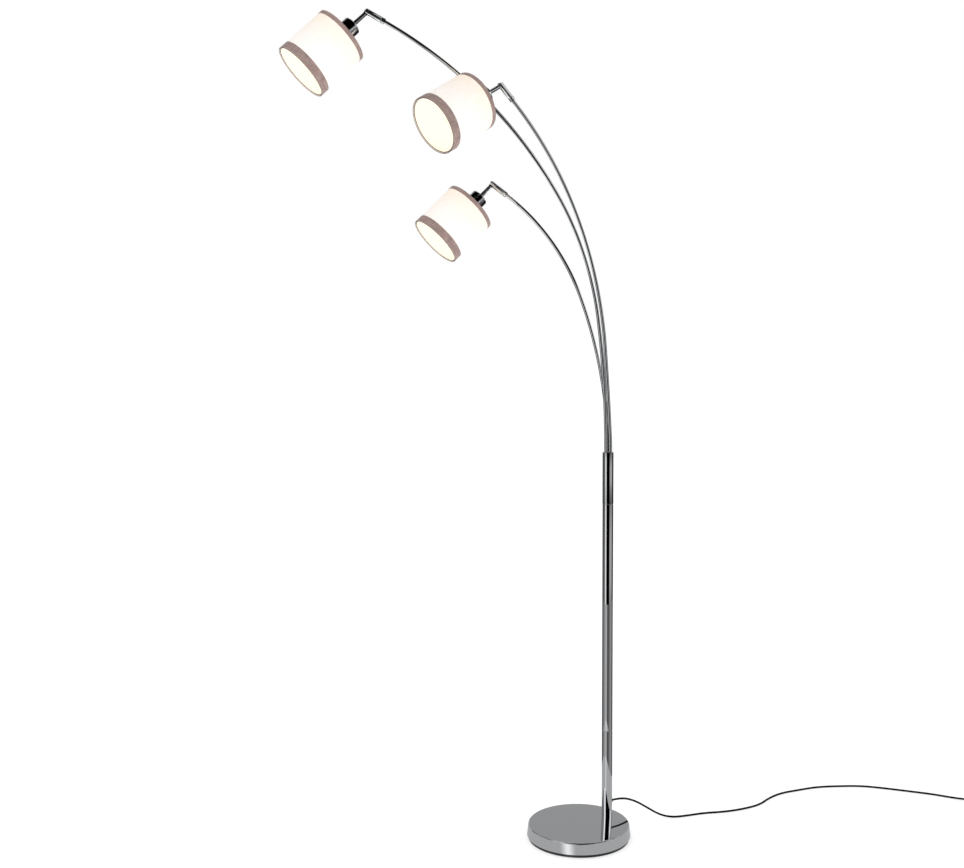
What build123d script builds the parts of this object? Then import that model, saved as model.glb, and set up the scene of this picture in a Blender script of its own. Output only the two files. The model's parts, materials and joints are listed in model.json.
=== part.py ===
from build123d import *
import math
import os

# Tree floor lamp: a chromed disc base with an offset pole, three bent arms that
# leave the pole's head, and a small drum shade at the end of each arm.
# Millimetres. Origin: middle of the base's flat underside, on the floor. +Z is up,
# the pole stands at +X, and the arms reach towards -X.

# ---------------------------------------------------------------- clearances
fit_gap = 0.05            # between a piece and the one it is pressed or glued into
running_gap = 0.06        # radial play of a bearing that turns
loose_gap = 0.3           # between neighbours that only lie near each other

# ---------------------------------------------------------------- base
base_d = 250.0            # chromed cover, across its lower edge
base_top_d = 243.0        # chromed cover, across its top edge
base_cover_h = 28.0
base_wall = 1.2
base_edge_r = 2.5         # rounding between top and side
base_lift = 9.0           # lower edge of the cover above the floor
tray_side_gap = 1.8       # black moulded tray's rim to the inside of the cover
tray_floor = 3.0
tray_rim_wall = 3.0
tray_rim_depth = 4.0      # how far the tray's rim reaches up into the cover
tray_rib_w = 3.0
tray_rib_count = 8
tray_hub_d = 40.0
pad_inset = 3.5           # pad's edge inside the tray's
pad_t = 2.0
weight_t = 20.0
weight_side_gap = 3.0     # cast iron to the inside of the cover

# ---------------------------------------------------------------- pole
pole_offset = 85.0        # pole axis from the middle of the base
pole_d = 25.4
pole_wall = 1.5
pole_lower_len = 216.5
pole_upper_len = 558.5
pole_edge = 0.4           # chamfer where two lengths of pole meet
stud_d = 10.0
stud_bore = 6.0
stud_below_nut = 1.0
nut_af = 17.0
nut_h = 7.0
nut_pocket_d = 30.0       # room in the tray's ribs for the nut
foot_insert_h = 20.0
coupler_len = 40.0
coupler_bore = 12.0
head_d = 26.0             # sleeve at the top of the pole
head_wall = 1.2
head_len = 124.5
head_edge = 1.0
insert_recess = 1.0       # insert's top below the sleeve's rim
insert_floor = 14.0
cord_hole_h = 36.0        # cord hole above the base's top
cord_hole_d = 8.6

# ---------------------------------------------------------------- cord
cord_d = 5.0
grommet_flange_d = 11.0
grommet_flange_t = 1.6
grommet_inside = 1.0      # grommet's neck inside the pole's wall
pole_cable_d = 6.0
pole_cable_bend = 8.0
switch_len = 76.0
switch_w = 34.0
switch_h = 17.0
switch_wall = 2.0
switch_edge = 4.0
switch_button_d = 18.0
switch_button_out = 4.0
switch_travel = 2.5
switch_relief_len = 24.0
switch_relief_d = 10.0
switch_axis_z = 6.0       # cord's middle where it enters the switch
switch_grip = 26.0        # cord inside the relief and the housing's wall
switch_lip = 2.0          # rim of the button that the housing's roof holds down
plug_len = 36.0
plug_w = 35.0
plug_t = 14.0
plug_relief_len = 22.0
plug_relief_d = 8.0
pin_d = 4.0
pin_len = 19.0
pin_spacing = 19.0
pin_seat = 8.0
coil_turns = 4.25
coil_out_r = 36.0         # outermost turn, at the middle of the cord
coil_step = 6.3           # from one turn to the next
coil_layer = 6.0          # from the lower layer to the upper
coil_lead_in = 30.0
coil_lead_out = 30.0

# ---------------------------------------------------------------- arms
arm_d = 8.0
arm_wall = 1.0
arm_hole_r = 6.3          # arm feet round the pole's axis
arm_knuckle_run = 46.0    # straight end of the arm, up to the tilt pin
ring_t = 2.0
ring_wall = 0.7

# ---------------------------------------------------------------- knuckle
knuckle_d = 12.8
knuckle_len = 33.0        # tilt pin to the turning joint
collar_len = 9.7
collar_grip = 6.0         # arm inside the collar
knuckle_gap = 0.3         # turning joint between knuckle and collar
knuckle_edge = 0.5
spigot_d = 7.0
spigot_len = 11.0
slot_w = 4.8
slot_depth = 8.5          # slot behind the tilt pin
slot_roof = 5.2           # top of the slot above the tilt pin: the stop in line
tongue_play = 0.15        # each side of the tongue in its slot
pin_dia = 3.6
rod_d = 9.5
rod_bore = 4.5
rod_shoulder = 7.6        # rod's full diameter begins this far from the pin

# ---------------------------------------------------------------- shade heads
cup_d = 41.0
cup_h = 50.0
cup_wall = 1.2
cup_edge = 4.0
cup_above = 35.0          # cup's top above the shade's upper rim
shade_from_pin = 77.8     # tilt pin to the shade's upper rim
shade_inner_d = 127.0
shade_len = 122.0
fabric_t = 1.0
band_t = 0.7
band_lip = 0.6            # band folded over the fabric's edge
top_band_w = 9.5
bottom_band_w = 19.5
rim_wire_d = 2.4
spoke_count = 3
spider_t = 1.5
spider_d = 46.0
holder_d = 28.0
holder_out = 10.0         # lampholder below the cup's mouth
holder_grip = 6.0         # rod inside the lampholder's top
socket_d = 14.4
socket_depth = 34.0
clamp_ring_d = 36.0
clamp_ring_h = 6.0
bulb_d = 45.0
bulb_base_d = 13.6
bulb_neck_len = 9.0
bulb_neck_d = 32.0        # neck where it meets the ball
bulb_len = 78.0

# Each arm: name, direction seen from above (degrees), where its foot sits in the
# head, its bends as (radius, turn) from the foot up, its head's tilt below level and how
# far its knuckle is turned about the arm's end.
arms = [
    ("high", 168.3, 178.4, [(2350.0, 7.6), (722.0, 24.8), (995.0, 31.3)], 41.6, 0.0),
    ("middle", -178.0, -61.6, [(600.0, 3.3), (5550.0, 2.3), (874.0, 39.9)], 28.2, 0.0),
    ("low", 131.7, 58.4, [(814.0, 2.4), (1075.0, 17.7), (538.0, 32.6)], 49.7, 27.1),
]
arm_foot_top = 4.5        # straight foot above the head's rim

# ---------------------------------------------------------------- worked out
base_top = base_lift + base_cover_h
weight_bottom = base_top - base_wall - weight_t
pole_r = pole_d / 2
pole_inner_r = pole_r - pole_wall
seam_z = base_top + pole_lower_len
head_z = seam_z + pole_upper_len
head_top = head_z + head_len
head_inner_r = head_d / 2 - head_wall
insert_top = head_top - insert_recess
insert_bottom = head_z + coupler_len / 2 + loose_gap
arm_foot_z = insert_bottom + insert_floor
cord_z = base_top + cord_hole_h
grommet_inner_face = pole_inner_r - grommet_inside
pole_axis = Vector(pole_offset, 0, 0)
shade_r = shade_inner_d / 2


def ring(outer_r, inner_r, z0, z1):
    """Round tube about Z."""
    height = z1 - z0
    body = Cylinder(outer_r, height, align=(Align.CENTER, Align.CENTER, Align.MIN))
    if inner_r > 0:
        hole = Cylinder(inner_r, height + 2, align=(Align.CENTER, Align.CENTER, Align.MIN))
        body -= Pos(0, 0, -1) * hole
    return Pos(0, 0, z0) * body


def disc(radius, z0, z1):
    return ring(radius, 0, z0, z1)


def turned(points):
    """Solid turned about Z from (radius, height) points."""
    outline = Polyline(*[(r, 0, z) for r, z in points], close=True)
    return revolve(make_face(outline), axis=Axis.Z)


def along_x(shape):
    """Turns a shape made about Z so that its axis lies along X."""
    return Rot(0, 90, 0) * shape


def at_pole(shape):
    return Pos(pole_offset, 0, 0) * shape


def outer_edges(shape, radius, height):
    """Round edges of one radius at one height."""
    return [e for e in shape.edges().filter_by(GeomType.CIRCLE)
            if abs(e.radius - radius) < 1e-3 and abs(e.center().Z - height) < 1e-3]


# ---------------------------------------------------------------- base pieces
def base_cover():
    low_r, top_r = base_d / 2, base_top_d / 2
    outer = turned([(0, base_lift), (low_r, base_lift), (top_r, base_top), (0, base_top)])
    outer = fillet(outer_edges(outer, top_r, base_top), base_edge_r)
    outer = fillet(outer_edges(outer, low_r, base_lift), base_wall / 3)
    inner_top = base_top - base_wall
    inner = turned([(0, base_lift - 1), (low_r - base_wall, base_lift - 1),
                    (top_r - base_wall, inner_top), (0, inner_top)])
    inner = fillet(outer_edges(inner, top_r - base_wall, inner_top), base_edge_r - base_wall)
    hole = at_pole(disc(stud_d / 2 + fit_gap, base_lift, base_top + 1))
    return outer - inner - hole


def cover_inside(low, high):
    """Least radius of the cover's inner wall between two heights."""
    slope = (base_top_d - base_d) / 2 / base_cover_h
    return min(base_d / 2 + slope * (z - base_lift) - base_wall for z in (low, high))


weight_r = cover_inside(weight_bottom, weight_bottom + weight_t) - weight_side_gap
tray_r = cover_inside(base_lift, base_lift + tray_rim_depth) - tray_side_gap


def base_weight():
    radius = weight_r
    block = disc(radius, weight_bottom, weight_bottom + weight_t)
    block = chamfer(outer_edges(block, radius, weight_bottom + weight_t), weight_side_gap / 2)
    hole = disc(stud_d / 2 + loose_gap, weight_bottom - 1, weight_bottom + weight_t + 1)
    return block - at_pole(hole)


def base_tray():
    rim_top = base_lift + tray_rim_depth
    body = disc(tray_r, pad_t, pad_t + tray_floor)
    body += ring(tray_r, tray_r - tray_rim_wall, pad_t, rim_top)
    rib_len = min(weight_r, tray_r) - tray_rim_wall
    rib_h = weight_bottom - pad_t
    rib_box = Box(rib_len, tray_rib_w, rib_h, align=(Align.MIN, Align.CENTER, Align.MIN))
    for k in range(tray_rib_count):
        turn = (k + 0.5) * 360 / tray_rib_count
        body += Rot(0, 0, turn) * Pos(0, 0, pad_t) * rib_box
    body += disc(tray_hub_d / 2, pad_t, weight_bottom)
    return body - at_pole(disc(nut_pocket_d / 2, pad_t + tray_floor, weight_bottom + 1))


def base_pad():
    return disc(tray_r - pad_inset, 0, pad_t)


def base_nut():
    z0 = weight_bottom - nut_h
    body = extrude(RegularPolygon(nut_af / 2, 6, major_radius=False), nut_h)
    body = Pos(0, 0, z0) * body
    return at_pole(body - disc(stud_d / 2 + fit_gap, z0 - 1, weight_bottom + 1))


def base_stud():
    z0 = weight_bottom - nut_h - stud_below_nut
    return at_pole(ring(stud_d / 2, stud_bore / 2, z0, base_top + foot_insert_h))


# ---------------------------------------------------------------- pole pieces
def pole_foot_insert():
    return at_pole(ring(pole_inner_r - fit_gap, stud_d / 2 + fit_gap,
                        base_top, base_top + foot_insert_h))


def cord_bar(radius, x0, x1):
    """Round bar along X at the cord's height, from the pole's axis outwards."""
    bar = Cylinder(radius, x1 - x0, align=(Align.CENTER, Align.CENTER, Align.MIN))
    return Pos(pole_offset + x0, 0, cord_z) * along_x(bar)


def pole_lower():
    body = ring(pole_r, pole_inner_r, base_top, seam_z)
    body = chamfer(outer_edges(body, pole_r, seam_z), pole_edge)
    return at_pole(body) - cord_bar(cord_hole_d / 2, 0, pole_d)


def pole_upper():
    body = ring(pole_r, pole_inner_r, seam_z, head_z)
    ends = outer_edges(body, pole_r, seam_z) + outer_edges(body, pole_r, head_z)
    return at_pole(chamfer(ends, pole_edge))


def pole_couplers():
    """Two joining tubes, at the seam in the pole and under the head."""
    half = coupler_len / 2
    seam = ring(pole_inner_r - fit_gap, coupler_bore / 2, seam_z - half, seam_z + half)
    low_r, high_r = pole_inner_r - fit_gap, head_inner_r - fit_gap
    neck = ring(low_r, coupler_bore / 2, head_z - half, head_z)
    neck += ring(high_r, coupler_bore / 2, head_z, head_z + half)
    return Compound([at_pole(seam), at_pole(neck)])


def pole_head():
    body = ring(head_d / 2, head_inner_r, head_z, head_top)
    body = chamfer(outer_edges(body, head_d / 2, head_z), pole_edge)
    body = fillet(outer_edges(body, head_d / 2, head_top), head_edge)
    return at_pole(body)


def foot_place(foot_angle):
    turn = math.radians(foot_angle)
    return pole_axis + Vector(arm_hole_r * math.cos(turn), arm_hole_r * math.sin(turn), 0)


def head_insert():
    body = at_pole(disc(head_inner_r - fit_gap, insert_bottom, insert_top))
    body -= at_pole(disc(pole_cable_d / 2 + loose_gap, insert_bottom - 1, arm_foot_z))
    bore_r = arm_d / 2 + running_gap
    for name, turn, foot_angle, bends, tilt, swivel in arms:
        place = foot_place(foot_angle)
        body -= Pos(place.X, place.Y, 0) * disc(bore_r, arm_foot_z, insert_top + 1)
        seat_r = bore_r + ring_wall + fit_gap
        seat = disc(seat_r, insert_top - ring_t, insert_top + 1)
        body -= Pos(place.X, place.Y, 0) * seat
    return body


def arm_friction_rings():
    """A nylon ring round each arm, in the top of the head's insert."""
    rings = []
    bore_r = arm_d / 2 + running_gap
    for name, turn, foot_angle, bends, tilt, swivel in arms:
        place = foot_place(foot_angle)
        one = ring(bore_r + ring_wall, bore_r, insert_top - ring_t, insert_top)
        rings.append(Pos(place.X, place.Y, 0) * one)
    return Compound(rings)


# ---------------------------------------------------------------- cord pieces
def cord_grommet():
    outer_face = pole_r + grommet_flange_t
    flange = cord_bar(grommet_flange_d / 2, pole_r / 2, outer_face)
    flange -= at_pole(disc(pole_r + fit_gap, cord_z - pole_d, cord_z + pole_d))
    return flange + cord_bar(cord_hole_d / 2 - fit_gap, grommet_inner_face, outer_face)


def tube(points, radii, diameter):
    """Round bar along straight runs joined by arcs."""
    path = FilletPolyline(*points, radius=radii)
    start = Plane(origin=path @ 0, z_dir=path % 0)
    return sweep(start * Circle(diameter / 2), path=path), path.length


def corner_radii(points):
    """Largest round each corner allows, printed with the run beside it."""
    spots = [Vector(*p) for p in points]
    radii = []
    for a, b, c in zip(spots, spots[1:], spots[2:]):
        turn = (b - a).get_angle(c - b)
        shorter = min((b - a).length, (c - b).length)
        radii.append(0.45 * shorter / math.tan(math.radians(turn / 2)))
    print("cord corners: radii", [round(r) for r in radii])
    return radii


def pole_cable():
    """Lead from the cord's grommet up to the head, inside the pole."""
    start_x = pole_offset + grommet_inner_face
    points = [(start_x, 0, cord_z), (pole_offset, 0, cord_z), (pole_offset, 0, insert_bottom)]
    body, length = tube(points, [pole_cable_bend], pole_cable_d)
    return body


# The cord's route from the grommet to the foot switch, chosen by hand: over the edge
# of the base, down to the floor and away in gentle waves.
cord_floor = cord_d / 2
cord_start_x = pole_offset + pole_r + grommet_flange_t
cord_route = [
    (cord_start_x, 0, cord_z),
    (130, 0, cord_z),
    (170, -1, 57),
    (204, -5, 34),
    (238, -14, 10),
    (266, -30, cord_floor),
    (303, -42, cord_floor),
    (350, -52, cord_floor),
    (398, -74, cord_floor),
    (450, -86, cord_floor),
    (506, -88, cord_floor),
    (556, -68, cord_floor),
    (606, -59, cord_floor),
    (660, -68, cord_floor),
    (718, -79, cord_floor),
    (770, -106, cord_floor),
    (820, -136, cord_floor),
    (860, -182, cord_floor),
    (898, -232, cord_floor),
    (934, -280, cord_floor),
    (959, -326, cord_floor),
    (976, -362, switch_axis_z),
    (986, -386, switch_axis_z),   # mouth of the switch's relief
]


def cord_run():
    inner_end = cord_end + last_run.normalized() * switch_grip
    points = cord_route[:-1] + [tuple(inner_end)]
    body, length = tube(points, corner_radii(points), cord_d)
    section = math.pi * cord_d ** 2 / 4
    print("cord run: length %.1f, volume %.0f, section times length %.0f"
          % (length, body.volume, section * length))
    return body


def run_frame(end, heading):
    """Floor frame under a point of the cord, X along the cord."""
    turn = math.radians(heading)
    direction = Vector(math.cos(turn), math.sin(turn), 0)
    return Plane(origin=(end.X, end.Y, 0), x_dir=direction, z_dir=(0, 0, 1))


cord_end = Vector(*cord_route[-1])
last_run = cord_end - Vector(*cord_route[-2])
switch_frame = run_frame(cord_end, math.degrees(math.atan2(last_run.Y, last_run.X)))
switch_total = 2 * switch_relief_len + switch_len
switch_middle = switch_total / 2
switch_roof = switch_h - switch_wall


def relief(small_d, large_d, length):
    """Tapered strain relief along X, small end at the origin."""
    cone = Cone(small_d / 2, large_d / 2, length, align=(Align.CENTER, Align.CENTER, Align.MIN))
    return along_x(cone)


def switch_housing():
    shell = extrude(SlotOverall(switch_len, switch_w), switch_h)
    shell = fillet(shell.faces().sort_by(Axis.Z)[-1].edges(), switch_edge)
    narrow = 2 * switch_wall
    room = extrude(SlotOverall(switch_len - narrow, switch_w - narrow), switch_h - narrow)
    well = disc(switch_button_d / 2 + loose_gap, switch_roof - 1, switch_h + 1)
    body = Pos(switch_middle, 0, 0) * (shell - Pos(0, 0, switch_wall) * room - well)
    taper = Pos(0, 0, switch_axis_z) * relief(cord_d + 1, switch_relief_d, switch_relief_len + 1)
    bore = Cylinder(cord_d / 2 + fit_gap, switch_relief_len + 2 * switch_wall + 1)
    bore = Pos(0, 0, switch_axis_z) * along_x(bore)
    body += taper
    body += Pos(switch_total, 0, 0) * Rot(0, 0, 180) * taper
    middle = (switch_relief_len + 2 * switch_wall - 1) / 2
    body -= Pos(middle, 0, 0) * bore
    body -= Pos(switch_total - middle, 0, 0) * bore
    return switch_frame.location * body


def switch_button():
    low = switch_wall + switch_travel + loose_gap
    body = disc(switch_button_d / 2, low, switch_h + switch_button_out)
    top = outer_edges(body, switch_button_d / 2, switch_h + switch_button_out)
    body = fillet(top, switch_button_out / 3)
    body += disc(switch_button_d / 2 + switch_lip, switch_roof - switch_lip, switch_roof)
    return switch_frame.location * Pos(switch_middle, 0, 0) * body


def biarc(p0, t0, p1, t1):
    """Two arcs that leave p0 along t0 and reach p1 along t1."""
    span = p1 - p0
    if span.get_angle(t0) < 1e-3 and span.get_angle(t1) < 1e-3:
        return [Line(p0, p1)]
    a = 2 * (1 - t0.dot(t1))
    b = 2 * span.dot(t0 + t1)
    c = -span.dot(span)
    reach = -c / b if a < 1e-9 else (-b + math.sqrt(b * b - 4 * a * c)) / (2 * a)
    q0, q1 = p0 + t0 * reach, p1 - t1 * reach
    joint = (q0 + q1) * 0.5
    middle = (q1 - q0).normalized()
    return [TangentArc(p0, joint, tangent=t0), TangentArc(joint, p1, tangent=middle)]


def coil_spot(turns, start):
    """Point and direction of the coil after some turns, clockwise from its start."""
    climb = 0.5
    inward = (coil_turns - climb) / 2
    rate = coil_step / (2 * math.pi)
    least_r = coil_out_r - coil_step * inward
    if turns < inward:
        radius, slope, share = coil_out_r - coil_step * turns, -rate, 0.0
    elif turns > inward + climb:
        radius, slope, share = least_r + coil_step * (turns - inward - climb), rate, 1.0
    else:
        radius, slope, share = least_r, 0.0, (turns - inward) / climb
    lift = coil_layer * (1 - math.cos(math.pi * share)) / 2
    rise = 0.0
    if 0 < share < 1:
        rise = coil_layer * math.sin(math.pi * share) / (4 * climb)
    angle = math.radians(90 - 360 * turns)
    out = Vector(math.cos(angle), math.sin(angle), 0)
    along = Vector(math.sin(angle), -math.cos(angle), 0)
    spot = start + Vector(0, -coil_out_r, 0) + out * radius + Vector(0, 0, lift)
    direction = (along * radius + out * slope + Vector(0, 0, rise)).normalized()
    return spot, direction


def coil_path():
    """Edges of the coil's middle line: lead-in, two layers of turns, lead-out."""
    ahead = Vector(1, 0, 0)
    first = Vector(switch_total - switch_grip, 0, switch_axis_z)
    straight = first + ahead * (switch_grip + cord_d)
    start = Vector(straight.X + coil_lead_in, 0, cord_floor)
    stops = [(first, ahead), (straight, ahead), (start, ahead)]
    quarters = int(round(4 * coil_turns))
    for k in range(1, quarters):
        stops.append(coil_spot(k / 4, start))
    last, direction = coil_spot(coil_turns, start)
    direction = Vector(direction.X, direction.Y, 0).normalized()
    stops.append((last, direction))
    low = last + direction * coil_lead_out
    low = Vector(low.X, low.Y, plug_t / 2)
    stops += [(low, direction), (low + direction * cord_d, direction)]
    edges = []
    for (p0, t0), (p1, t1) in zip(stops, stops[1:]):
        edges += biarc(p0, t0, p1, t1)
    return edges, stops[-1]


coil_edges, coil_end = coil_path()
plug_spot = switch_frame.from_local_coords(coil_end[0])
plug_ahead = switch_frame.from_local_coords(coil_end[0] + coil_end[1]) - plug_spot
plug_heading = math.degrees(math.atan2(plug_ahead.Y, plug_ahead.X))
plug_frame = run_frame(plug_spot, plug_heading)


def least_gap(edges, step):
    """Least gap between turns, from points along the middle line."""
    spots = []
    gone = 0.0
    for edge in edges:
        count = max(2, int(edge.length / step))
        for k in range(count):
            spots.append((gone + edge.length * k / count, edge @ (k / count)))
        gone += edge.length
    far = 3 * cord_d
    gaps = [(p - q).length - cord_d for i, (s, p) in enumerate(spots)
            for t, q in spots[i + 1:] if t - s > far]
    return min(gaps), gone


def cord_coil():
    gap, length = least_gap(coil_edges, 3.0)
    path = Wire(coil_edges)
    body = sweep(Plane(origin=path @ 0, z_dir=path % 0) * Circle(cord_d / 2), path=path)
    section = math.pi * cord_d ** 2 / 4
    print("cord coil: length %.1f, least gap %.2f, volume %.0f, section times length %.0f"
          % (length, gap, body.volume, section * length))
    return switch_frame.location * body


def plug_body():
    taper = Pos(0, 0, plug_t / 2) * relief(cord_d + 1, plug_relief_d, plug_relief_len + 1)
    grip = Pos(plug_relief_len + plug_len / 2, 0, 0) * extrude(Rectangle(plug_len, plug_w), plug_t)
    grip = fillet(grip.edges().filter_by(Axis.Z), plug_w / 4)
    grip = chamfer(grip.faces().sort_by(Axis.Z)[-1].edges(), plug_t / 8)
    holes = Pos(plug_relief_len + plug_len, 0, 0) * pin_pair(-pin_seat, 1, pin_d / 2 + fit_gap)
    return plug_frame.location * (grip + taper - holes)


def pin_pair(x0, x1, radius):
    """Two round bars along X at the plug's pin spacing."""
    bars = []
    for side in (-1, 1):
        bar = Cylinder(radius, x1 - x0, align=(Align.CENTER, Align.CENTER, Align.MIN))
        bars.append(Pos(x0, side * pin_spacing / 2, plug_t / 2) * along_x(bar))
    return Compound(bars)


def plug_pins():
    bars = Pos(plug_relief_len + plug_len, 0, 0) * pin_pair(-pin_seat, pin_len, pin_d / 2)
    return plug_frame.location * bars


# ---------------------------------------------------------------- arm and head frames
class Head:
    """Where one arm, its knuckle and its shade head stand."""

    def __init__(self, name, turn, foot_angle, bends, tilt, swivel):
        self.name = name
        self.bends = bends
        angle = math.radians(turn)
        self.out = Vector(math.cos(angle), math.sin(angle), 0)
        self.pin_axis = Vector(-math.sin(angle), math.cos(angle), 0)
        self.foot = foot_place(foot_angle)
        side = Vector(math.sin(angle), -math.cos(angle), 0)
        self.arm_plane = Plane(origin=self.foot, x_dir=self.out, z_dir=side)
        end, along = self.arm_edges()[-1] @ 1, self.arm_edges()[-1] % 1
        left = knuckle_len + knuckle_gap + collar_len - collar_grip
        pin = end + along * left
        self.pin = self.arm_plane.from_local_coords(pin)
        self.arm_way = (self.out * along.X + Vector(0, 0, along.Y)).normalized()
        down = math.radians(tilt)
        self.head_way = self.out * math.cos(down) - Vector(0, 0, math.sin(down))
        turned = Axis((0, 0, 0), tuple(self.arm_way))
        self.pin_axis = self.pin_axis.rotate(turned, swivel)
        self.head_way = self.head_way.rotate(turned, swivel)
        self.bend = self.arm_way.get_angle(self.head_way)
        self.knuckle = Plane(origin=self.pin, x_dir=self.arm_way,
                             z_dir=self.arm_way.cross(self.pin_axis)).location
        self.head = Plane(origin=self.pin, x_dir=self.head_way,
                          z_dir=self.head_way.cross(self.pin_axis)).location

    def arm_edges(self):
        """Middle line of the arm in its own plane: X outwards, Y up."""
        start = (0, head_top + arm_foot_top)
        edges = [Line((0, arm_foot_z), start)]
        for radius, turn in self.bends:
            previous = edges[-1]
            edges.append(JernArc(start=previous @ 1, tangent=previous % 1,
                                 radius=radius, arc_size=-turn))
        last = edges[-1]
        straight = arm_knuckle_run - knuckle_len - knuckle_gap - collar_len + collar_grip
        edges.append(Line(last @ 1, (last @ 1) + (last % 1) * straight))
        return edges


heads = [Head(*arm) for arm in arms]


def arm_tube(head):
    path = Wire(head.arm_edges())
    start = Plane(origin=path @ 0, z_dir=path % 0)
    outer = sweep(start * Circle(arm_d / 2), path=path)
    inner = sweep(start * Circle(arm_d / 2 - arm_wall), path=path)
    return head.arm_plane.location * (outer - inner)


def bar_x(radius, x0, x1):
    """Round bar along X."""
    bar = Cylinder(radius, x1 - x0, align=(Align.CENTER, Align.CENTER, Align.MIN))
    return Pos(x0, 0, 0) * along_x(bar)


def bar_y(radius, width):
    """Round bar across, along the tilt pin."""
    return Rot(90, 0, 0) * Cylinder(radius, width)


def end_edges(shape, radius, x):
    return [e for e in shape.edges().filter_by(GeomType.CIRCLE)
            if abs(e.radius - radius) < 1e-3 and abs(e.center().X - x) < 1e-3]


def knuckle_collar(head):
    near = -(knuckle_len + knuckle_gap)
    far = near - collar_len
    body = bar_x(knuckle_d / 2, far, near)
    rims = end_edges(body, knuckle_d / 2, far) + end_edges(body, knuckle_d / 2, near)
    body = chamfer(rims, knuckle_edge)
    body += bar_x(spigot_d / 2, near - 1, near + knuckle_gap + spigot_len)
    socket = bar_x(arm_d / 2 + fit_gap, far - 1, far + collar_grip)
    return head.knuckle * (body - socket)


def knuckle_body(head):
    radius = knuckle_d / 2
    body = bar_x(radius, -knuckle_len, radius)
    body = chamfer(end_edges(body, radius, -knuckle_len), knuckle_edge)
    straight = Box(knuckle_len, knuckle_d + 2, knuckle_d + 2, align=(Align.MAX, Align.CENTER, Align.CENTER))
    body = body & (straight + bar_y(radius, knuckle_d + 2))
    depth = slot_depth + knuckle_d
    slot = Box(depth, slot_w, slot_roof + knuckle_d, align=(Align.MIN, Align.CENTER, Align.MAX))
    body -= Pos(-slot_depth, 0, slot_roof) * slot
    body -= bar_y(pin_dia / 2 + fit_gap, knuckle_d + 2)
    bore_end = -knuckle_len + spigot_len + loose_gap
    body -= bar_x(spigot_d / 2 + running_gap, -knuckle_len - 1, bore_end)
    return head.knuckle * body


def knuckle_pin(head):
    """Cross pin, its ends rounded off to the knuckle's own round."""
    pin = bar_y(pin_dia / 2, knuckle_d) & bar_x(knuckle_d / 2, -pin_dia, pin_dia)
    return head.knuckle * pin


cup_top = shade_from_pin - cup_above
cup_mouth = cup_top + cup_h
holder_end = cup_mouth + holder_out
socket_floor = holder_end - socket_depth


def stem_rod(head):
    tongue = Box(rod_shoulder + 1, slot_w - 2 * tongue_play, rod_d, align=(Align.MIN, Align.CENTER, Align.CENTER))
    end = cup_top + cup_wall + holder_grip
    rod = bar_x(rod_d / 2, rod_shoulder, end)
    rod = chamfer(end_edges(rod, rod_d / 2, rod_shoulder), tongue_play * 2)
    body = rod + tongue + bar_y(rod_d / 2, slot_w - 2 * tongue_play)
    body -= bar_y(pin_dia / 2 + running_gap, rod_d)
    body -= bar_x(rod_bore / 2, 2 * rod_shoulder, end + 1)
    return head.head * body


def lampholder_cup(head):
    radius = cup_d / 2
    outer = turned([(0, cup_top), (radius - cup_edge, cup_top), (radius, cup_top + cup_edge),
                    (radius, cup_mouth), (0, cup_mouth)])
    inner_top = cup_top + cup_wall
    inner_r = radius - cup_wall
    bevel = cup_edge - cup_wall / 2
    inner = turned([(0, inner_top), (inner_r - bevel, inner_top), (inner_r, inner_top + bevel),
                    (inner_r, cup_mouth + 1), (0, cup_mouth + 1)])
    hole = disc(rod_d / 2 + fit_gap, cup_top - 1, inner_top + 1)
    return head.head * along_x(outer - inner - hole)


def lampholder(head):
    top = cup_top + cup_wall
    body = disc(holder_d / 2, top, holder_end)
    body -= disc(rod_d / 2 + fit_gap, top - 1, top + holder_grip)
    body -= disc(socket_d / 2, socket_floor, holder_end + 1)
    body -= disc(rod_bore / 2, top, socket_floor + 1)
    return head.head * along_x(body)


def clamp_ring(head):
    z0 = cup_mouth + spider_t
    body = ring(clamp_ring_d / 2, holder_d / 2 + fit_gap, z0, z0 + clamp_ring_h)
    body = chamfer(outer_edges(body, clamp_ring_d / 2, z0 + clamp_ring_h), 1.0)
    return head.head * along_x(body)


def rim_ring(z):
    """Wire ring that lies against the inside of the fabric."""
    return Pos(0, 0, z) * Torus(shade_r - rim_wire_d / 2 - fit_gap, rim_wire_d / 2)


def shade_frame(head):
    hub = ring(spider_d / 2, holder_d / 2 + fit_gap, cup_mouth, cup_mouth + spider_t)
    rim_z = shade_from_pin + rim_wire_d
    body = hub + rim_ring(rim_z)
    inner = Vector(spider_d / 2 - 2, 0, cup_mouth + spider_t / 2)
    outer = Vector(shade_r - rim_wire_d / 2 - fit_gap, 0, rim_z)
    way = outer - inner
    bar = Cylinder(rim_wire_d / 2, way.length, align=(Align.CENTER, Align.CENTER, Align.MIN))
    spoke = Plane(origin=inner, z_dir=way).location * bar
    for k in range(spoke_count):
        body += Rot(0, 0, (k + 0.5) * 360 / spoke_count) * spoke
    return head.head * along_x(body)


def shade_fabric(head):
    top = shade_from_pin + band_lip
    bottom = shade_from_pin + shade_len - band_lip
    return head.head * along_x(ring(shade_r + fabric_t, shade_r, top, bottom))


def band_outline(width):
    """Band with its lip over the fabric's edge, its rim at height 0."""
    inner = shade_r + fabric_t + fit_gap
    outer = inner + band_t
    lip = band_lip - fit_gap
    return [(shade_r, 0), (outer, 0), (outer, width), (inner, width), (inner, lip), (shade_r, lip)]


def shade_top_band(head):
    band = turned(band_outline(top_band_w))
    return head.head * along_x(Pos(0, 0, shade_from_pin) * band)


def shade_bottom_band(head):
    """Lower band, with the wire ring that keeps the mouth round."""
    rim = shade_from_pin + shade_len
    band = turned([(r, rim - z) for r, z in band_outline(bottom_band_w)])
    wire = rim_ring(rim - rim_wire_d)
    return head.head * along_x(Compound([band, wire]))


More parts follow.
